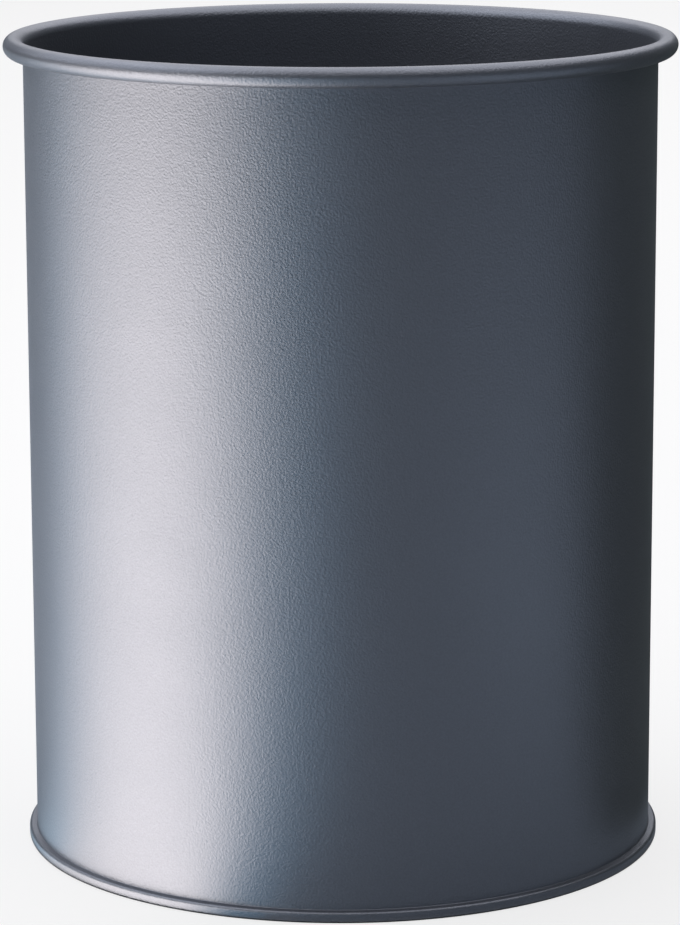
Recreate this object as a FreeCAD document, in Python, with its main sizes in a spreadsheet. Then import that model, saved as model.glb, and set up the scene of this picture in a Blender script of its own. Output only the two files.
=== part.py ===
import FreeCAD, Part
import math
import os
import Sketcher

# Round waste bin of painted sheet steel, in millimetres.
# The origin is the middle of the floor under the bin, +Z is up and the side lap is at the back, +Y.

doc = FreeCAD.newDocument("waste_bin")
sizes = doc.addObject("Spreadsheet::Sheet", "sizes")

driving_sizes = [
    ("bin_height", 318.0),      # floor to the top of the rolled rim
    ("wall_diameter", 244.8),   # outside of the straight wall
    ("wall_sheet", 0.6),        # steel of the wall
    ("bead_height", 7.6),       # top to bottom of the rolled rim
    ("bead_overhang", 7.6),     # how far the rolled rim stands out from the wall
    ("curl_gap", 0.3),          # between the tucked edge of the rim and the wall
    ("base_sheet", 0.8),        # steel of the base
    ("base_recess", 6.0),       # floor to the underside of the base
    ("bend_chamfer", 0.7),      # where the base turns down to the foot
    ("ledge_width", 26.0),      # flat ring of the base round its raised middle
    ("step_rise", 1.5),         # how far the middle is raised
    ("step_slope", 3.0),        # width of the slope round the raised middle
    ("seam_height", 3.8),       # floor to the top of the folded foot seam
    ("seam_gap", 0.3),          # paint and sealant between the folded layers
    ("seam_chamfer", 0.6),      # outside corners of the foot seam
    ("lap_width", 6.0),         # overlap of the wall's two ends
    ("lap_slope", 3.0),         # where the upper end comes down to the wall again
    ("lap_notch", 2.0),         # the overlap stops this short of the rim and of the seam
]

value = {}
for row, (alias, size) in enumerate(driving_sizes, start=1):
    sizes.set("A%d" % row, alias)
    sizes.set("B%d" % row, str(size))
    sizes.setAlias("B%d" % row, alias)
    value[alias] = size
doc.recompute()


# Sketch helpers: a point of a sketch is written as (number of the edge, START, END or CENTRE)

START = 1
END = 2
CENTRE = 3
ORIGIN = (-1, 1)
FLOOR_LINE = -1
AXIS_LINE = -2
SAME_PLACE = 1e-6


def new_sketch(body, name, role):
    """A sketch on one of the body's own origin planes."""
    sketch = body.newObject("Sketcher::SketchObject", name)
    plane = [item for item in body.Origin.OriginFeatures if item.Role == role][0]
    sketch.AttachmentSupport = (plane, [""])
    sketch.MapMode = "FlatFace"
    sketch.Visibility = False
    return sketch


def line(start, end):
    return Part.LineSegment(FreeCAD.Vector(*start, 0), FreeCAD.Vector(*end, 0))


def arc(centre, radius, start, end):
    """An arc that runs anticlockwise from one point to the other."""
    circle = Part.Circle(FreeCAD.Vector(*centre, 0), FreeCAD.Vector(0, 0, 1), radius)
    first = circle.parameter(FreeCAD.Vector(*start, 0))
    last = circle.parameter(FreeCAD.Vector(*end, 0))
    return Part.ArcOfCircle(circle, first, last)


def join(sketch, first, second):
    sketch.addConstraint(Sketcher.Constraint("Coincident", *first, *second))


def keep_square(sketch, first, second):
    """Keeps two points level or plumb with each other, if they are drawn so."""
    step = sketch.getPoint(*second) - sketch.getPoint(*first)
    if abs(step.y) < SAME_PLACE:
        sketch.addConstraint(Sketcher.Constraint("Horizontal", *first, *second))
    elif abs(step.x) < SAME_PLACE:
        sketch.addConstraint(Sketcher.Constraint("Vertical", *first, *second))


def draw_loop(sketch, shapes):
    """Draws named edges, joins each to the next one and keeps the square lines square."""
    edges = {name: sketch.addGeometry(shape, False) for name, shape in shapes}
    numbers = list(edges.values())
    for here, following in zip(numbers, numbers[1:] + numbers[:1]):
        for leave in (START, END):
            for enter in (START, END):
                step = sketch.getPoint(here, leave) - sketch.getPoint(following, enter)
                if step.Length < SAME_PLACE:
                    join(sketch, (here, leave), (following, enter))
    for name, shape in shapes:
        if isinstance(shape, Part.LineSegment):
            keep_square(sketch, (edges[name], START), (edges[name], END))
    return edges


def dimension(sketch, kind, first, second, name, rule):
    """A distance across or up the sketch, tied to the sheet of sizes."""
    step = sketch.getPoint(*second) - sketch.getPoint(*first)
    drawn = step.x if kind == "DistanceX" else step.y
    if drawn < 0:
        first, second = second, first
    number = sketch.addConstraint(Sketcher.Constraint(kind, *first, *second, abs(drawn)))
    sketch.renameConstraint(number, name)
    sketch.setExpression("Constraints." + name, rule)


def across(sketch, first, second, name, rule):
    dimension(sketch, "DistanceX", first, second, name, rule)


def upward(sketch, first, second, name, rule):
    dimension(sketch, "DistanceY", first, second, name, rule)


def rounding(sketch, edge, name, rule):
    """The radius of an arc, tied to the sheet of sizes."""
    number = sketch.addConstraint(Sketcher.Constraint("Radius", edge, sketch.Geometry[edge].Radius))
    sketch.renameConstraint(number, name)
    sketch.setExpression("Constraints." + name, rule)


def turn(body, sketch, name):
    """Revolves a section all the way round the upright axis."""
    solid = body.newObject("PartDesign::Revolution", name)
    solid.Profile = sketch
    solid.ReferenceAxis = (sketch, ["V_Axis"])
    solid.Angle = 360


# Layers of the foot seam, from the thicknesses of the two sheets and the gap between them

sheet = value["wall_sheet"]
plate = value["base_sheet"]
gap = value["seam_gap"]

wall_outside = value["wall_diameter"] / 2
wall_inside = wall_outside - sheet
skirt_outside = wall_inside - gap
skirt_inside = skirt_outside - plate
cover_inside = wall_outside + gap
cover_outside = cover_inside + plate
hook_inside = cover_outside + gap
hook_outside = hook_inside + sheet
seam_inside = hook_outside + gap
seam_outside = seam_inside + plate

hook_bottom = plate + gap
hook_floor = hook_bottom + sheet
cover_tip = hook_floor + gap
seam_top = value["seam_height"]
seam_ceiling = seam_top - plate
hook_tip = seam_ceiling - gap


# The shell is one sheet, rolled round and welded. Its upper edge is curled outwards into
# a hollow bead, and its lower edge is turned out and up into the hook of the foot seam.

shell = doc.addObject("PartDesign::Body", "body_shell")
shell_section = new_sketch(shell, "shell_section", "XZ_Plane")

rim_top = value["bin_height"]
bead_radius = value["bead_height"] / 2
crest = wall_outside + value["bead_overhang"] - bead_radius
flare_radius = crest - wall_inside
tuck_radius = crest - wall_outside - value["curl_gap"]
flare_centre = (crest, rim_top - flare_radius)
bead_centre = (crest, rim_top - bead_radius)
tuck_centre = (crest, rim_top - value["bead_height"] + tuck_radius)

# Corners of the curl, from the wall over the crest to the tucked edge, an eighth of a turn apart.
# A direction is in eighths of a turn, anticlockwise from straight outwards.
curl = [
    (flare_centre, flare_radius, 4),
    (flare_centre, flare_radius, 3),
    (flare_centre, flare_radius, 2),
    (bead_centre, bead_radius, 1),
    (bead_centre, bead_radius, 0),
    (bead_centre, bead_radius, -1),
    (bead_centre, bead_radius, -2),
    (tuck_centre, tuck_radius, -3),
    (tuck_centre, tuck_radius, -4),
]
WALL_SIDE, FLARE, CREST, SHOULDER, OUTERMOST, HEEL, UNDERSIDE, TUCK, EDGE = range(len(curl))
EIGHTH_TURN = 45


def around(centre, radius, eighths):
    """The point of a circle that lies in this direction."""
    angle = math.radians(EIGHTH_TURN * eighths)
    return (centre[0] + radius * math.cos(angle), centre[1] + radius * math.sin(angle))


outer = [around(centre, radius, eighths) for centre, radius, eighths in curl]
inner = [around(centre, radius - sheet, eighths) for centre, radius, eighths in curl]

shapes = [
    ("inner_wall", line(outer[WALL_SIDE], (wall_inside, hook_bottom))),
    ("hook_under", line((wall_inside, hook_bottom), (hook_outside, hook_bottom))),
    ("hook_out", line((hook_outside, hook_bottom), (hook_outside, hook_tip))),
    ("hook_edge", line((hook_outside, hook_tip), (hook_inside, hook_tip))),
    ("hook_in", line((hook_inside, hook_tip), (hook_inside, hook_floor))),
    ("hook_over", line((hook_inside, hook_floor), (wall_outside, hook_floor))),
    ("outer_wall", line((wall_outside, hook_floor), inner[WALL_SIDE])),
]
for corner in range(WALL_SIDE, EDGE):
    shapes.append(("hollow_%d" % corner, line(inner[corner], inner[corner + 1])))
shapes.append(("curl_edge", line(inner[EDGE], outer[EDGE])))
for corner in range(EDGE, UNDERSIDE, -1):
    shapes.append(("tuck_%d" % corner, line(outer[corner], outer[corner - 1])))
for corner in range(UNDERSIDE, CREST, -1):
    bend = arc(bead_centre, bead_radius, outer[corner], outer[corner - 1])
    shapes.append(("bead_%d" % corner, bend))
for corner in range(CREST, WALL_SIDE, -1):
    bend = arc(flare_centre, flare_radius, outer[corner], outer[corner - 1])
    shapes.append(("flare_%d" % corner, bend))
edge = draw_loop(shell_section, shapes)

outer_point = {WALL_SIDE: (edge["inner_wall"], START), EDGE: (edge["curl_edge"], END)}
for corner in (TUCK, UNDERSIDE):
    outer_point[corner] = (edge["tuck_%d" % (corner + 1)], END)
for corner in (HEEL, OUTERMOST, SHOULDER, CREST):
    outer_point[corner] = (edge["bead_%d" % (corner + 1)], END)
outer_point[FLARE] = (edge["flare_%d" % CREST], END)
inner_point = {corner: (edge["hollow_%d" % corner], START) for corner in range(WALL_SIDE, EDGE)}
inner_point[EDGE] = (edge["curl_edge"], START)

flare_middle = (edge["flare_%d" % CREST], CENTRE)
bead_middle = (edge["bead_%d" % SHOULDER], CENTRE)
join(shell_section, flare_middle, (edge["flare_%d" % FLARE], CENTRE))
for corner in (OUTERMOST, HEEL, UNDERSIDE):
    join(shell_section, bead_middle, (edge["bead_%d" % corner], CENTRE))
keep_square(shell_section, flare_middle, outer_point[WALL_SIDE])
keep_square(shell_section, flare_middle, outer_point[CREST])
keep_square(shell_section, bead_middle, outer_point[CREST])
keep_square(shell_section, bead_middle, outer_point[OUTERMOST])
keep_square(shell_section, bead_middle, outer_point[UNDERSIDE])

flare_rule = "(sizes.bead_overhang + sizes.wall_sheet - sizes.bead_height / 2)"
bead_rule = "(sizes.bead_height / 2)"
tuck_rule = "(sizes.bead_overhang - sizes.curl_gap - sizes.bead_height / 2)"
across(shell_section, ORIGIN, (edge["outer_wall"], START), "wall_radius", "sizes.wall_diameter / 2")
across(shell_section, (edge["outer_wall"], END), bead_middle, "crest_offset",
       "sizes.bead_overhang - sizes.bead_height / 2")
upward(shell_section, ORIGIN, outer_point[CREST], "rim_top", "sizes.bin_height")
upward(shell_section, outer_point[UNDERSIDE], outer_point[CREST], "bead_size", "sizes.bead_height")
across(shell_section, flare_middle, outer_point[FLARE], "flare_corner", flare_rule + " * cos(45)")
across(shell_section, bead_middle, outer_point[SHOULDER], "shoulder_corner",
       bead_rule + " * cos(45)")
across(shell_section, bead_middle, outer_point[HEEL], "heel_corner", bead_rule + " * cos(45)")
across(shell_section, outer_point[UNDERSIDE], outer_point[TUCK], "tuck_across",
       tuck_rule + " * cos(45)")
upward(shell_section, outer_point[UNDERSIDE], outer_point[TUCK], "tuck_upward",
       tuck_rule + " * (1 - cos(45))")
across(shell_section, (edge["outer_wall"], END), outer_point[EDGE], "tuck_gap", "sizes.curl_gap")
upward(shell_section, outer_point[UNDERSIDE], outer_point[EDGE], "tuck_height", tuck_rule)

# The curl is as thick as the sheet at each corner
for corner, (centre, radius, eighths) in enumerate(curl):
    thickness = (shell_section, outer_point[corner], inner_point[corner])
    name = "thickness_%d" % corner
    if eighths % 2:
        across(*thickness, name + "_across", "sizes.wall_sheet * cos(45)")
        upward(*thickness, name + "_upward", "sizes.wall_sheet * cos(45)")
    elif eighths % 4:
        keep_square(*thickness)
        upward(*thickness, name, "sizes.wall_sheet")
    else:
        across(*thickness, name, "sizes.wall_sheet")
        if corner != EDGE:
            keep_square(*thickness)

upward(shell_section, ORIGIN, (edge["hook_under"], START), "hook_clearance",
       "sizes.base_sheet + sizes.seam_gap")
upward(shell_section, (edge["hook_under"], END), (edge["hook_over"], START), "hook_thickness",
       "sizes.wall_sheet")
across(shell_section, (edge["outer_wall"], START), (edge["hook_in"], END), "hook_opening",
       "sizes.base_sheet + 2 * sizes.seam_gap")
across(shell_section, (edge["hook_in"], END), (edge["hook_out"], START), "hook_leg",
       "sizes.wall_sheet")
upward(shell_section, ORIGIN, (edge["hook_edge"], START), "hook_tip",
       "sizes.seam_height - sizes.base_sheet - sizes.seam_gap")
turn(shell, shell_section, "shell_turned")


# The side lap at the back: one end of the sheet lies over the other, and past it slopes back
# down to the wall. Both ends are notched, so that the rim and the foot seam fold single.

lap_section = new_sketch(shell, "lap_section", "XY_Plane")
lap_section.setExpression("AttachmentOffset.Base.z", "sizes.seam_height + sizes.lap_notch")

lap_outside = wall_outside + sheet
lap_root = wall_outside - sheet / 2
lap_half = value["lap_width"] / 2
slope_end = lap_half + value["lap_slope"]


def back_of(radius, aside):
    """The point at the back of a circle that lies this far to the side."""
    return (aside, math.sqrt(radius ** 2 - aside ** 2))


cut_top = back_of(lap_outside, -lap_half)
cut_root = back_of(lap_root, -lap_half)
slope_top = back_of(lap_outside, lap_half)
slope_root = back_of(lap_root, slope_end)

lap = draw_loop(lap_section, [
    ("over", arc((0, 0), lap_outside, slope_top, cut_top)),
    ("cut_edge", line(cut_top, cut_root)),
    ("under", arc((0, 0), lap_root, slope_root, cut_root)),
    ("slope", line(slope_root, slope_top)),
])
join(lap_section, (lap["over"], CENTRE), ORIGIN)
join(lap_section, (lap["under"], CENTRE), ORIGIN)
rounding(lap_section, lap["over"], "over_radius", "sizes.wall_diameter / 2 + sizes.wall_sheet")
rounding(lap_section, lap["under"], "root_radius", "(sizes.wall_diameter - sizes.wall_sheet) / 2")
across(lap_section, (lap["cut_edge"], START), ORIGIN, "cut_side", "sizes.lap_width / 2")
across(lap_section, ORIGIN, (lap["slope"], END), "slope_side", "sizes.lap_width / 2")
across(lap_section, (lap["slope"], END), (lap["slope"], START), "slope_width", "sizes.lap_slope")

side_lap = shell.newObject("PartDesign::Pad", "side_lap")
side_lap.Profile = lap_section
side_lap.setExpression(
    "Length", "sizes.bin_height - sizes.bead_height - sizes.seam_height - 2 * sizes.lap_notch")


# The base is a pressed disc with a raised middle. It turns down into a skirt inside the wall,
# then out, up and down again round the hook of the shell: the foot that the bin stands on.

base = doc.addObject("PartDesign::Body", "base_panel")
base_section = new_sketch(base, "base_section", "XZ_Plane")

ledge = value["base_recess"]
middle = ledge + value["step_rise"]
step_foot = skirt_inside - value["ledge_width"]
step_top = step_foot - value["step_slope"]
bend_under = value["bend_chamfer"]
bend_over = bend_under + (2 - math.sqrt(2)) * plate
chamfer = value["seam_chamfer"]

fold = draw_loop(base_section, [
    ("middle_under", line((0, middle), (step_top, middle))),
    ("slope_under", line((step_top, middle), (step_foot, ledge))),
    ("ledge_under", line((step_foot, ledge), (skirt_inside - bend_under, ledge))),
    ("bend_under", line((skirt_inside - bend_under, ledge), (skirt_inside, ledge - bend_under))),
    ("skirt_in", line((skirt_inside, ledge - bend_under), (skirt_inside, 0))),
    ("foot", line((skirt_inside, 0), (seam_outside - chamfer, 0))),
    ("foot_corner", line((seam_outside - chamfer, 0), (seam_outside, chamfer))),
    ("seam_out", line((seam_outside, chamfer), (seam_outside, seam_top - chamfer))),
    ("top_corner", line((seam_outside, seam_top - chamfer), (seam_outside - chamfer, seam_top))),
    ("seam_over", line((seam_outside - chamfer, seam_top), (cover_inside, seam_top))),
    ("cover_in", line((cover_inside, seam_top), (cover_inside, cover_tip))),
    ("cover_edge", line((cover_inside, cover_tip), (cover_outside, cover_tip))),
    ("cover_out", line((cover_outside, cover_tip), (cover_outside, seam_ceiling))),
    ("ceiling", line((cover_outside, seam_ceiling), (seam_inside, seam_ceiling))),
    ("seam_in", line((seam_inside, seam_ceiling), (seam_inside, plate))),
    ("foot_over", line((seam_inside, plate), (skirt_outside, plate))),
    ("skirt_out", line((skirt_outside, plate), (skirt_outside, ledge + plate - bend_over))),
    ("bend_over", line((skirt_outside, ledge + plate - bend_over),
                       (skirt_outside - bend_over, ledge + plate))),
    ("ledge_over", line((skirt_outside - bend_over, ledge + plate), (step_foot, ledge + plate))),
    ("slope_over", line((step_foot, ledge + plate), (step_top, middle + plate))),
    ("middle_over", line((step_top, middle + plate), (0, middle + plate))),
    ("centre", line((0, middle + plate), (0, middle))),
])
keep_square(base_section, (fold["slope_under"], START), (fold["slope_over"], END))
keep_square(base_section, (fold["slope_under"], END), (fold["slope_over"], START))
base_section.addConstraint(
    Sketcher.Constraint("PointOnObject", fold["centre"], START, AXIS_LINE))
base_section.addConstraint(
    Sketcher.Constraint("PointOnObject", fold["foot"], START, FLOOR_LINE))

across(base_section, ORIGIN, (fold["skirt_out"], START), "skirt_radius",
       "sizes.wall_diameter / 2 - sizes.wall_sheet - sizes.seam_gap")
across(base_section, (fold["skirt_in"], START), (fold["skirt_out"], END), "skirt_thickness",
       "sizes.base_sheet")
across(base_section, (fold["bend_under"], START), (fold["bend_under"], END), "bend_across",
       "sizes.bend_chamfer")
upward(base_section, (fold["bend_under"], START), (fold["bend_under"], END), "bend_upward",
       "sizes.bend_chamfer")
across(base_section, (fold["bend_over"], START), (fold["bend_over"], END), "bend_over_across",
       "sizes.bend_chamfer + (2 - sqrt(2)) * sizes.base_sheet")
upward(base_section, (fold["bend_over"], START), (fold["bend_over"], END), "bend_over_upward",
       "sizes.bend_chamfer + (2 - sqrt(2)) * sizes.base_sheet")
across(base_section, (fold["ledge_under"], START), (fold["skirt_in"], START), "ledge",
       "sizes.ledge_width")
across(base_section, (fold["slope_under"], START), (fold["slope_under"], END), "slope",
       "sizes.step_slope")
upward(base_section, ORIGIN, (fold["ledge_under"], START), "recess", "sizes.base_recess")
upward(base_section, (fold["ledge_under"], START), (fold["ledge_over"], END), "ledge_thickness",
       "sizes.base_sheet")
upward(base_section, (fold["slope_under"], END), (fold["slope_under"], START), "rise",
       "sizes.step_rise")
upward(base_section, (fold["centre"], END), (fold["centre"], START), "middle_thickness",
       "sizes.base_sheet")
across(base_section, ORIGIN, (fold["cover_in"], START), "cover_radius",
       "sizes.wall_diameter / 2 + sizes.seam_gap")
across(base_section, (fold["cover_edge"], START), (fold["cover_edge"], END), "cover_thickness",
       "sizes.base_sheet")
across(base_section, (fold["ceiling"], START), (fold["ceiling"], END), "hook_room",
       "sizes.wall_sheet + 2 * sizes.seam_gap")
across(base_section, (fold["seam_in"], END), (fold["seam_out"], START), "seam_thickness",
       "sizes.base_sheet")
upward(base_section, ORIGIN, (fold["foot_over"], START), "foot_thickness", "sizes.base_sheet")
upward(base_section, ORIGIN, (fold["cover_edge"], START), "cover_tip",
       "sizes.base_sheet + sizes.wall_sheet + 2 * sizes.seam_gap")
upward(base_section, ORIGIN, (fold["seam_over"], START), "seam_top", "sizes.seam_height")
upward(base_section, (fold["ceiling"], START), (fold["seam_over"], END), "ceiling_thickness",
       "sizes.base_sheet")
for name in ("foot_corner", "top_corner"):
    across(base_section, (fold[name], START), (fold[name], END), name + "_across",
           "sizes.seam_chamfer")
    upward(base_section, (fold[name], START), (fold[name], END), name + "_upward",
           "sizes.seam_chamfer")
turn(base, base_section, "base_turned")


# Everything is checked before it is written

doc.recompute()
sections = [shell_section, lap_section, base_section]
bodies = [shell, base]

for item in doc.Objects:
    if "Invalid" in item.State or "Error" in item.State:
        raise RuntimeError(item.Name + " failed: " + str(item.State))
for section in sections:
    if not section.FullyConstrained:
        raise RuntimeError(section.Name + " has a size left open")
for body in bodies:
    if body.Shape.isNull() or not body.Shape.isValid() or len(body.Shape.Solids) != 1:
        raise RuntimeError(body.Label + " is not one sound solid")

os.makedirs("parts", exist_ok=True)
for body in bodies:
    body.Shape.exportStep("parts/" + body.Label + ".step")
    print(body.Label, "volume", round(body.Shape.Volume), "mm3")
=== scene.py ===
import math

import bpy
from mathutils import Matrix, Vector


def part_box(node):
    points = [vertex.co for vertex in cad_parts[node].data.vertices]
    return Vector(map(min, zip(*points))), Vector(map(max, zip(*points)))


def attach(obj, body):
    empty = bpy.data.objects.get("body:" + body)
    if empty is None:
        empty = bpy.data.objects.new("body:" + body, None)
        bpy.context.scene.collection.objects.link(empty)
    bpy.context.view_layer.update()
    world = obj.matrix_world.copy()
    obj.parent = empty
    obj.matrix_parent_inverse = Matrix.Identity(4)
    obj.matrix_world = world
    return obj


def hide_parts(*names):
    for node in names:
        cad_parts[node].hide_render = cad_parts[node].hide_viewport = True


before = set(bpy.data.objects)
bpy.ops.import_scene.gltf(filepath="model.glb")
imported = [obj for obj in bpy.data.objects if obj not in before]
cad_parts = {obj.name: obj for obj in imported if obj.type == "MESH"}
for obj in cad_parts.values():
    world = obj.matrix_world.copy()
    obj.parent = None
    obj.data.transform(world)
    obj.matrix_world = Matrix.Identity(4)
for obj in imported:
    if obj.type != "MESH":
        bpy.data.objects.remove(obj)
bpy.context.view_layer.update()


# Shell: one rectangle of 0.6 mm steel, rolled round and welded along a side lap at the back.
# Its upper edge is curled outwards into the hollow rim, and its lower edge is turned out and up
# into a hook, which the rim of the base is folded round.

MM = 0.001
STEPS_ROUND = 288
merge_within = 0.01 * MM
smooth_under = math.radians(32)

shell_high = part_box("body_shell")[1]
rim_top = shell_high.z
shell_sheet = 0.6 * MM
bead_radius = 3.8 * MM
bead_overhang = 7.6 * MM
tuck_gap = 0.3 * MM
wall_outside = shell_high.x - bead_overhang
wall_inside = wall_outside - shell_sheet
wall_row = 12 * MM

crest = shell_high.x - bead_radius
flare_radius = crest - wall_inside
tuck_radius = crest - wall_outside - tuck_gap
rim_foot = rim_top - 2 * bead_radius
flare_steps = 14
curl_steps = 28
tuck_steps = 10

base_sheet = 0.8 * MM
seam_gap = 0.3 * MM
hook_height = 1 * MM
hook_floor = base_sheet + seam_gap
hook_tip = hook_floor + hook_height
hook_outside = wall_outside + base_sheet + 2 * seam_gap + shell_sheet
hook_bend = 0.75 * MM
hook_steps = 5


def bend(centre_radius, centre_height, radius, start, end, steps):
    """Points of a rounded bend in a section, from one angle to another in degrees."""
    points = []
    for step in range(steps + 1):
        angle = math.radians(start + (end - start) * step / steps)
        points.append((centre_radius + radius * math.cos(angle),
                       centre_height + radius * math.sin(angle)))
    return points


def straight(start, end, row):
    """Points along a straight stretch of a section, about one row apart, without its two ends."""
    count = max(1, round(math.dist(start, end) / row))
    return [(start[0] + (end[0] - start[0]) * step / count,
             start[1] + (end[1] - start[1]) * step / count) for step in range(1, count)]


def turn_sheet(name, section):
    """A ring extruded along a section, point by point, as a sheet that goes round the axis."""
    bpy.ops.object.select_all(action="DESELECT")
    radius, height = section[0]
    bpy.ops.mesh.primitive_circle_add(vertices=STEPS_ROUND, radius=radius, location=(0, 0, height))
    sheet = bpy.context.object
    sheet.name = name
    sheet.data.name = name
    bpy.ops.object.transform_apply(location=True, rotation=True, scale=True)
    bpy.ops.object.mode_set(mode="EDIT")
    bpy.ops.mesh.select_mode(type="EDGE")
    bpy.ops.mesh.select_all(action="SELECT")
    for next_radius, next_height in section[1:]:
        bpy.ops.mesh.extrude_edges_move(
            TRANSFORM_OT_translate={"value": (0, 0, next_height - height)})
        growth = next_radius / radius
        bpy.ops.transform.resize(value=(growth, growth, 1), center_override=(0, 0, 0))
        radius, height = next_radius, next_height
    return sheet


def thicken(sheet, thickness, drawn_side):
    """Gives a sheet its thickness, behind the side that was drawn."""
    bpy.ops.mesh.select_all(action="SELECT")
    bpy.ops.mesh.remove_doubles(threshold=merge_within)
    bpy.ops.mesh.normals_make_consistent(inside=False)
    bpy.ops.object.mode_set(mode="OBJECT")
    if sum(face.area * drawn_side(face) for face in sheet.data.polygons) < 0:
        bpy.ops.object.mode_set(mode="EDIT")
        bpy.ops.mesh.select_all(action="SELECT")
        bpy.ops.mesh.flip_normals()
        bpy.ops.object.mode_set(mode="OBJECT")
    solid = sheet.modifiers.new("thickness", "SOLIDIFY")
    solid.thickness = thickness
    solid.offset = -1
    solid.use_even_offset = True
    bpy.ops.object.modifier_apply(modifier=solid.name)


hook_middle = hook_floor + hook_bend
flare_foot = rim_top - flare_radius
shell_section = [(hook_outside, hook_tip)]
shell_section += bend(hook_outside - hook_bend, hook_middle, hook_bend, 0, -90, hook_steps)
shell_section += bend(wall_inside + hook_bend, hook_middle, hook_bend, -90, -180, hook_steps)
shell_section += straight(shell_section[-1], (wall_inside, flare_foot), wall_row)
shell_section += bend(crest, flare_foot, flare_radius, 180, 90, flare_steps)
shell_section += bend(crest, rim_top - bead_radius, bead_radius, 90, -90, curl_steps)[1:]
shell_section += bend(crest, rim_foot + tuck_radius, tuck_radius, -90, -180, tuck_steps)[1:]

shell = turn_sheet("shell", shell_section)
thicken(shell, shell_sheet, lambda face: -face.normal.xy.dot(face.center.xy))

# The side lap: the upper end of the sheet lies over the lower one and comes down past it

lap_half = 3 * MM
lap_edge = 6 * MM
lap_edge_near = 5.7 * MM
lap_reach = 12 * MM
lap_notch = 2 * MM
lap_low = 6 * MM
lap_high = rim_foot - lap_notch
wall_middle = (wall_outside + wall_inside) / 2
slant_limit = 0.1


def select_only(kind, wanted):
    """Selects the wanted faces or corners of the mesh at hand in edit mode, and nothing else."""
    bpy.ops.object.mode_set(mode="EDIT")
    bpy.ops.mesh.select_mode(type=kind)
    bpy.ops.mesh.select_all(action="DESELECT")
    bpy.ops.object.mode_set(mode="OBJECT")
    mesh = bpy.context.object.data
    for element in mesh.polygons if kind == "FACE" else mesh.vertices:
        element.select = wanted(element)
    bpy.ops.object.mode_set(mode="EDIT")


def at_the_back(face):
    """On the outer face of the wall, close to the lap."""
    near = abs(face.center.x) < lap_reach and face.center.y > 0
    on_the_wall = shell_sheet < face.center.z < rim_foot
    return near and on_the_wall and face.center.xy.length > wall_middle


def in_the_lap(face):
    """On the stretch of wall that the upper end lies over."""
    across = -lap_half < face.center.x < lap_edge
    return across and lap_low < face.center.z < lap_high and at_the_back(face)


def at_the_lap_edge(corner):
    """Where the raised sheet comes down to the wall again."""
    across = lap_edge_near < corner.co.x < lap_reach and corner.co.y > 0
    along = lap_low - lap_notch < corner.co.z < rim_foot - lap_notch / 2
    return across and along and corner.co.xy.length > wall_outside + shell_sheet / 2


for cut_place, cut_direction in (
        ((-lap_half, 0, 0), (1, 0, 0)),
        ((lap_half, 0, 0), (1, 0, 0)),
        ((lap_edge, 0, 0), (1, 0, 0)),
        ((0, 0, lap_low), (0, 0, 1)),
        ((0, 0, lap_high), (0, 0, 1))):
    select_only("FACE", lambda face: at_the_back(face) and abs(face.normal.z) < slant_limit)
    bpy.ops.mesh.bisect(plane_co=cut_place, plane_no=cut_direction)

lap_growth = (wall_outside + shell_sheet) / wall_outside
select_only("FACE", in_the_lap)
bpy.ops.mesh.extrude_region_move()
bpy.ops.transform.resize(value=(lap_growth, lap_growth, 1), center_override=(0, 0, 0))
select_only("VERT", at_the_lap_edge)
bpy.ops.transform.resize(value=(1 / lap_growth, 1 / lap_growth, 1), center_override=(0, 0, 0))
bpy.ops.mesh.select_all(action="SELECT")
bpy.ops.mesh.remove_doubles(threshold=merge_within)
bpy.ops.object.mode_set(mode="OBJECT")
bpy.ops.object.shade_smooth_by_angle(angle=smooth_under)


def powder_coat(name):
    """Fine-textured metallic powder coat in slate: metal flakes under an orange-peel surface."""
    slate = (0.2, 0.213, 0.245)
    metal_share = 0.85
    flake_scale = 1400
    flake_contrast = 0.05
    cloud_scale = 30
    peel_scale = 1200
    peel_depth = 0.13 * MM

    coat = bpy.data.materials.new(name)
    coat.use_nodes = True
    nodes = coat.node_tree.nodes
    links = coat.node_tree.links
    shader = nodes["Principled BSDF"]
    shader.inputs["Metallic"].default_value = metal_share
    place = nodes.new("ShaderNodeTexCoord")

    flakes = nodes.new("ShaderNodeTexNoise")
    flakes.inputs["Scale"].default_value = flake_scale
    flakes.inputs["Detail"].default_value = 2
    links.new(place.outputs["Object"], flakes.inputs["Vector"])
    tint = nodes.new("ShaderNodeValToRGB")
    darker, brighter = tint.color_ramp.elements
    darker.position = 0.3
    darker.color = [(1 - flake_contrast) * part for part in slate] + [1]
    brighter.position = 0.7
    brighter.color = [(1 + flake_contrast) * part for part in slate] + [1]
    links.new(flakes.outputs["Fac"], tint.inputs["Fac"])
    links.new(tint.outputs["Color"], shader.inputs["Base Color"])

    cloud = nodes.new("ShaderNodeTexNoise")
    cloud.inputs["Scale"].default_value = cloud_scale
    links.new(place.outputs["Object"], cloud.inputs["Vector"])
    satin = nodes.new("ShaderNodeMapRange")
    satin.inputs["To Min"].default_value = 0.39
    satin.inputs["To Max"].default_value = 0.45
    links.new(cloud.outputs["Fac"], satin.inputs["Value"])
    links.new(satin.outputs["Result"], shader.inputs["Roughness"])

    peel = nodes.new("ShaderNodeTexNoise")
    peel.inputs["Scale"].default_value = peel_scale
    peel.inputs["Detail"].default_value = 1
    links.new(place.outputs["Object"], peel.inputs["Vector"])
    fine = nodes.new("ShaderNodeBump")
    fine.inputs["Strength"].default_value = 1
    fine.inputs["Distance"].default_value = peel_depth
    links.new(peel.outputs["Fac"], fine.inputs["Height"])
    links.new(fine.outputs["Normal"], shader.inputs["Normal"])
    return coat


slate_coat = powder_coat("slate_powder_coat")
shell.data.materials.append(slate_coat)
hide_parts("body_shell")
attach(shell, "root")


# Base: a disc pressed from 0.8 mm steel, with a raised middle. Its rim turns down into a skirt
# inside the wall, then out and up over the hook of the shell. Pressed tight, that double seam is
# the foot that the bin stands on, and paint rounds the corner where it meets the wall.

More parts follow.
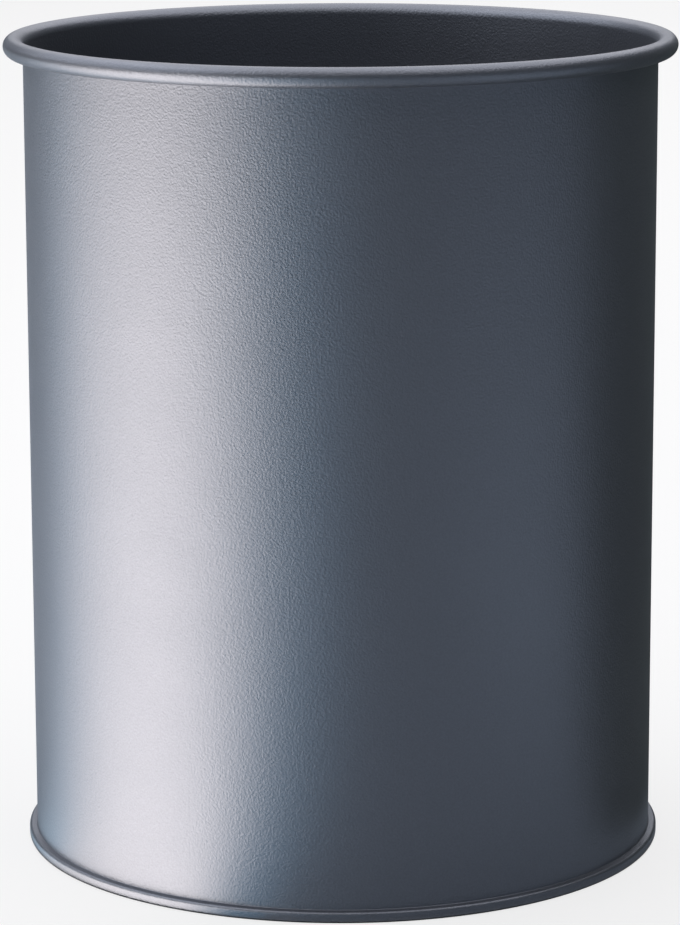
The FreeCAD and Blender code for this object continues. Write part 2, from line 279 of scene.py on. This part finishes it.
base_low, base_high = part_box("base_panel")
seam_outside = base_high.x
seam_height = 4.2 * MM
seam_shoulder = 1.2 * MM
seam_root = 0.3 * MM
seam_slope = 4
cover_gap = 0.05 * MM
cover_face = wall_outside + cover_gap
shoulder_steps = 10
root_steps = 6

skirt_inside = wall_inside - seam_gap - base_sheet
foot_bend = 0.95 * MM
ledge = 6.0 * MM
ledge_bend = 1.6 * MM
ledge_width = 26 * MM
bend_steps = 7

step_rise = 1.5 * MM
step_slope = 3 * MM
step_ease = 0.5 * MM
step_ease_rise = 0.1 * MM
step_foot = skirt_inside - ledge_width
step_top = step_foot - step_slope
middle = ledge + step_rise
disc_row = 11 * MM
centre_ring = 4 * MM

shoulder = bend(seam_outside - seam_shoulder, seam_height - seam_shoulder, seam_shoulder,
                90 - seam_slope, 0, shoulder_steps)
root = bend(cover_face + seam_root, 0, seam_root, 180 + seam_slope, 270 - seam_slope, root_steps)
root_rise = math.tan(math.radians(seam_slope)) * (shoulder[0][0] - root[-1][0])
root_lift = shoulder[0][1] + root_rise - root[-1][1]
foot_middle = base_low.z + foot_bend
base_section = [(radius, height + root_lift) for radius, height in root] + shoulder
base_section += bend(seam_outside - foot_bend, foot_middle, foot_bend, 0, -90, bend_steps)
base_section += bend(skirt_inside + foot_bend, foot_middle, foot_bend, -90, -180, bend_steps)
base_section += bend(skirt_inside - ledge_bend, ledge - ledge_bend, ledge_bend, 0, 90, bend_steps)
base_section += straight(base_section[-1], (step_foot, ledge), disc_row)
base_section += [(step_foot + step_ease, ledge), (step_foot, ledge + step_ease_rise)]
base_section += [(step_top, middle - step_ease_rise), (step_top - step_ease, middle)]
base_section += straight(base_section[-1], (centre_ring, middle), disc_row)
base_section += [(centre_ring, middle), (centre_ring / 2, middle)]

base = turn_sheet("base", base_section)
bpy.ops.mesh.merge(type="CENTER")
thicken(base, base_sheet, lambda face: -face.normal.z)
bpy.ops.object.shade_smooth_by_angle(angle=smooth_under)
base.data.materials.append(slate_coat)
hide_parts("base_panel")
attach(base, "root")


# Floor: a plain pale studio table top, wide enough to fill the view, with a pale surround
# beyond its edge. The foot stands a hair above it, so that the two faces don't share a plane.

floor_side = 14
floor_level = -0.1 * MM
floor_colour = (0.85, 0.85, 0.85, 1)
floor_roughness = 0.9
floor_shine = 0.1
floor_whiteness = 0.75
surround_colour = (0.78, 0.785, 0.785, 1)

bpy.ops.object.select_all(action="DESELECT")
bpy.ops.mesh.primitive_plane_add(size=floor_side, location=(0, 0, floor_level))
floor = bpy.context.object
floor.name = "studio_floor"
bpy.ops.object.transform_apply(location=True, rotation=True, scale=True)

floor_paint = bpy.data.materials.new("pale_floor")
floor_paint.use_nodes = True
nodes = floor_paint.node_tree.nodes
links = floor_paint.node_tree.links
matt = nodes["Principled BSDF"]
matt.inputs["Base Color"].default_value = floor_colour
matt.inputs["Roughness"].default_value = floor_roughness
matt.inputs["Specular IOR Level"].default_value = floor_shine
ray = nodes.new("ShaderNodeLightPath")
camera_or_glossy = nodes.new("ShaderNodeMath")
links.new(ray.outputs["Is Camera Ray"], camera_or_glossy.inputs[0])
links.new(ray.outputs["Is Glossy Ray"], camera_or_glossy.inputs[1])
seen = nodes.new("ShaderNodeMath")
seen.use_clamp = True
links.new(camera_or_glossy.outputs["Value"], seen.inputs[0])
links.new(ray.outputs["Is Transmission Ray"], seen.inputs[1])
whiteness = nodes.new("ShaderNodeMath")
whiteness.operation = "MULTIPLY"
whiteness.inputs[1].default_value = floor_whiteness
links.new(seen.outputs["Value"], whiteness.inputs[0])
white = nodes.new("ShaderNodeEmission")
mixed = nodes.new("ShaderNodeMixShader")
links.new(whiteness.outputs["Value"], mixed.inputs["Fac"])
links.new(matt.outputs["BSDF"], mixed.inputs[1])
links.new(white.outputs["Emission"], mixed.inputs[2])
links.new(mixed.outputs["Shader"], nodes["Material Output"].inputs["Surface"])
floor.data.materials.append(floor_paint)

surround = bpy.data.worlds.new("pale_surround")
bpy.context.scene.world = surround
surround.use_nodes = True
surround.node_tree.nodes["Background"].inputs["Color"].default_value = surround_colour


# Cove: grey card that lies on the floor round the bin and turns up at its far edge. It glows at
# the left, and fades to blue towards the front. Only the reflections in the coat see it.

cove_start = 0.127
cove_reach = 1.2
cove_height = 0.26
cove_lift = 0.3 * MM
cove_steps = 96
cove_middle = (-0.03, -0.085, 0)
cove_strength = 4.85
cove_rest = 0.018
cove_tint = Vector((1, 0.905, 0.83))
end_tint = Vector((0.38, 0.93, 1.3))
card_colour = (0.215, 0.25, 0.295, 1)

# Stops of the glow: degrees from the front round by the left, the share of the full glow, and
# how far its tint has gone from the one of the cove to the one of the ends
cove_glow = (
    (4, 0.052, 1), (22, 0.098, 1), (36, 0.44, 0.17), (50, 0.85, 0), (62, 0.95, 0),
    (76, 0.94, 0), (90, 0.88, 0), (104, 0.63, 0.05), (118, 0.28, 0.5), (132, cove_rest, 0.5))


def only_in_reflections(card):
    """Hides a card from the camera, from diffuse light and from shadows."""
    card.visible_camera = False
    card.visible_shadow = False
    card.visible_diffuse = False


bpy.ops.object.select_all(action="DESELECT")
bpy.ops.mesh.primitive_circle_add(vertices=cove_steps, radius=cove_start,
                                  location=(0, 0, cove_lift))
cove = bpy.context.object
cove.name = "light_cove"
bpy.ops.object.transform_apply(location=True, rotation=True, scale=True)
cove_growth = cove_reach / cove_start
bpy.ops.object.mode_set(mode="EDIT")
bpy.ops.mesh.select_all(action="SELECT")
bpy.ops.mesh.extrude_edges_move()
bpy.ops.transform.resize(value=(cove_growth, cove_growth, 1), center_override=(0, 0, 0))
bpy.ops.mesh.extrude_edges_move(TRANSFORM_OT_translate={"value": (0, 0, cove_height)})
bpy.ops.object.mode_set(mode="OBJECT")
only_in_reflections(cove)

glowing_card = bpy.data.materials.new("cove_glow")
glowing_card.use_nodes = True
nodes = glowing_card.node_tree.nodes
links = glowing_card.node_tree.links
nodes.remove(nodes["Principled BSDF"])
place = nodes.new("ShaderNodeTexCoord")
facing = nodes.new("ShaderNodeMapping")
facing.vector_type = "TEXTURE"
facing.inputs["Location"].default_value = cove_middle
facing.inputs["Rotation"].default_value = (0, 0, math.radians(90))
links.new(place.outputs["Object"], facing.inputs["Vector"])
round_the_bin = nodes.new("ShaderNodeTexGradient")
round_the_bin.gradient_type = "RADIAL"
links.new(facing.outputs["Vector"], round_the_bin.inputs["Vector"])
fade = nodes.new("ShaderNodeValToRGB")
stops = fade.color_ramp.elements
stops[0].color = (cove_rest, cove_rest, cove_rest, 1)
stops[1].color = (cove_rest, cove_rest, cove_rest, 1)
for degrees, share, to_the_end in cove_glow:
    stops.new(1 - degrees / 360).color = [*(share * cove_tint.lerp(end_tint, to_the_end)), 1]
links.new(round_the_bin.outputs["Fac"], fade.inputs["Fac"])
light_out = nodes.new("ShaderNodeEmission")
light_out.inputs["Strength"].default_value = cove_strength
links.new(fade.outputs["Color"], light_out.inputs["Color"])
card = nodes.new("ShaderNodeBsdfDiffuse")
card.inputs["Color"].default_value = card_colour
both = nodes.new("ShaderNodeAddShader")
links.new(light_out.outputs["Emission"], both.inputs[0])
links.new(card.outputs["BSDF"], both.inputs[1])
links.new(both.outputs["Shader"], nodes["Material Output"].inputs["Surface"])
cove.data.materials.append(glowing_card)


# Soft panels: four rectangular lamps with diffusers, one high at the left, two overhead and one
# low at the right. They light the coat and the floor, and the camera doesn't see them.

cool_white = (0.92, 0.94, 1)
warm_white = (1, 0.98, 1)
pale_blue = (0.74, 0.87, 1)


def soft_panel(name, place, target, width, height, strength, colour):
    """A rectangular soft light that faces a point; strength is the light that its face gives."""
    lamp = bpy.data.lights.new(name, "AREA")
    lamp.shape = "RECTANGLE"
    lamp.size = width
    lamp.size_y = height
    lamp.energy = strength * width * height * math.pi
    lamp.color = colour
    holder = bpy.data.objects.new(name, lamp)
    holder.location = place
    holder.rotation_euler = (Vector(target) - Vector(place)).to_track_quat("-Z", "Y").to_euler()
    holder.visible_camera = False
    bpy.context.scene.collection.objects.link(holder)


soft_panel("left_panel", place=(-1.0, 0.1, 1.05), target=(-0.05, 0.1, 0.1),
           width=2.1, height=1.0, strength=1.35, colour=cool_white)
soft_panel("top_panel", place=(0.2, 2.1, 1.5), target=(0.2, 2.1, 0),
           width=2.4, height=5, strength=1.5, colour=warm_white)
soft_panel("front_panel", place=(0.2, -0.9, 1.5), target=(0.2, -0.9, 0),
           width=2.4, height=1.0, strength=0.7, colour=warm_white)
soft_panel("right_panel", place=(0.7, -0.42, 0.01), target=(0.7, -0.42, 1),
           width=0.84, height=0.7, strength=0.22, colour=pale_blue)


# Dim room: the walls and ceiling of the studio, faintly lit. The coat and the floor see them in
# place of the pale surround, and the camera looks through them.

room_side = 15
room_height = 4
room_middle = 1.8
room_glow = (0.05, 0.062, 0.075, 1)

bpy.ops.object.select_all(action="DESELECT")
bpy.ops.mesh.primitive_cube_add(size=1, location=(0, 0, room_middle))
room = bpy.context.object
room.name = "dim_room"
room.scale = (room_side, room_side, room_height)
bpy.ops.object.transform_apply(location=True, rotation=True, scale=True)
room.visible_camera = False

room_walls = bpy.data.materials.new("dim_walls")
room_walls.use_nodes = True
nodes = room_walls.node_tree.nodes
nodes.remove(nodes["Principled BSDF"])
dim_glow = nodes.new("ShaderNodeEmission")
dim_glow.inputs["Color"].default_value = room_glow
room_walls.node_tree.links.new(dim_glow.outputs["Emission"],
                               nodes["Material Output"].inputs["Surface"])
room.data.materials.append(room_walls)


# Painted shade: a dark board that lies at the right of the bin and turns up at its far edge,
# and a round dark card under the bin as painted contact shadow. They keep the reflections in the
# coat dark there, as if the floor were in shade there; they cast no shadow, and the camera sees
# neither.

board_near = 0.14
board_far = 0.32
board_height = 0.4
board_length = 1.15
board_along = 0.52
board_lift = 0.6 * MM
card_lift = 0.03 * MM
# Grey of the painted shade that the board and the card show in the coat's reflections
shade_grey = (0.06, 0.075, 0.07, 1)
board_across = (board_near + board_far) / 2

# The board is painted shade: a dark sheet that only the reflections in the coat see, and that
# casts no shadow
bpy.ops.object.select_all(action="DESELECT")
bpy.ops.mesh.primitive_plane_add(size=1, location=(board_across, board_along, board_lift))
board = bpy.context.object
board.name = "painted_shade_board"
board.scale = (board_far - board_near, board_length, 1)
bpy.ops.object.transform_apply(location=True, rotation=True, scale=True)
select_only("VERT", lambda corner: corner.co.x > board_across)
bpy.ops.mesh.extrude_edges_move(TRANSFORM_OT_translate={"value": (0, 0, board_height)})
bpy.ops.object.mode_set(mode="OBJECT")
only_in_reflections(board)

shade_paint = bpy.data.materials.new("painted_shade_paint")
shade_paint.use_nodes = True
board_finish = shade_paint.node_tree.nodes["Principled BSDF"]
board_finish.inputs["Base Color"].default_value = shade_grey
board_finish.inputs["Roughness"].default_value = 1
board.data.materials.append(shade_paint)

# The card under the bin is painted contact shadow: the foot's reflections see it dark where the
# floor meets the bin
bpy.ops.object.select_all(action="DESELECT")
bpy.ops.mesh.primitive_circle_add(vertices=cove_steps, radius=cove_start, fill_type="NGON",
                                  location=(0, 0, card_lift))
under = bpy.context.object
under.name = "painted_contact_shadow_card"
bpy.ops.object.transform_apply(location=True, rotation=True, scale=True)
only_in_reflections(under)
under.data.materials.append(shade_paint)


# Camera: in front of the bin and a little above it, turned down towards its middle. Its place,
# lens, turn and roll were fitted to the outline of the bin in the photograph.

FRAME_HEIGHT = 925
focal_pixels = 3880.6
sensor = 36
view_depth = 50
camera_place = (0, -1.49888, 0.46367)
tilt_down = math.radians(11.874)
heading = math.radians(0.027)
roll = math.radians(0.177)

camera_data = bpy.data.cameras.new("camera")
camera_data.sensor_width = sensor
camera_data.lens = focal_pixels * sensor / FRAME_HEIGHT
camera_data.clip_end = view_depth
camera = bpy.data.objects.new("camera", camera_data)
bpy.context.scene.collection.objects.link(camera)
turned = (Matrix.Rotation(heading, 4, "Z") @ Matrix.Rotation(math.pi / 2 - tilt_down, 4, "X")
          @ Matrix.Rotation(-roll, 4, "Z"))
camera.location = camera_place
camera.rotation_euler = turned.to_euler()
bpy.context.scene.camera = camera
bpy.context.scene.view_settings.view_transform = "Standard"
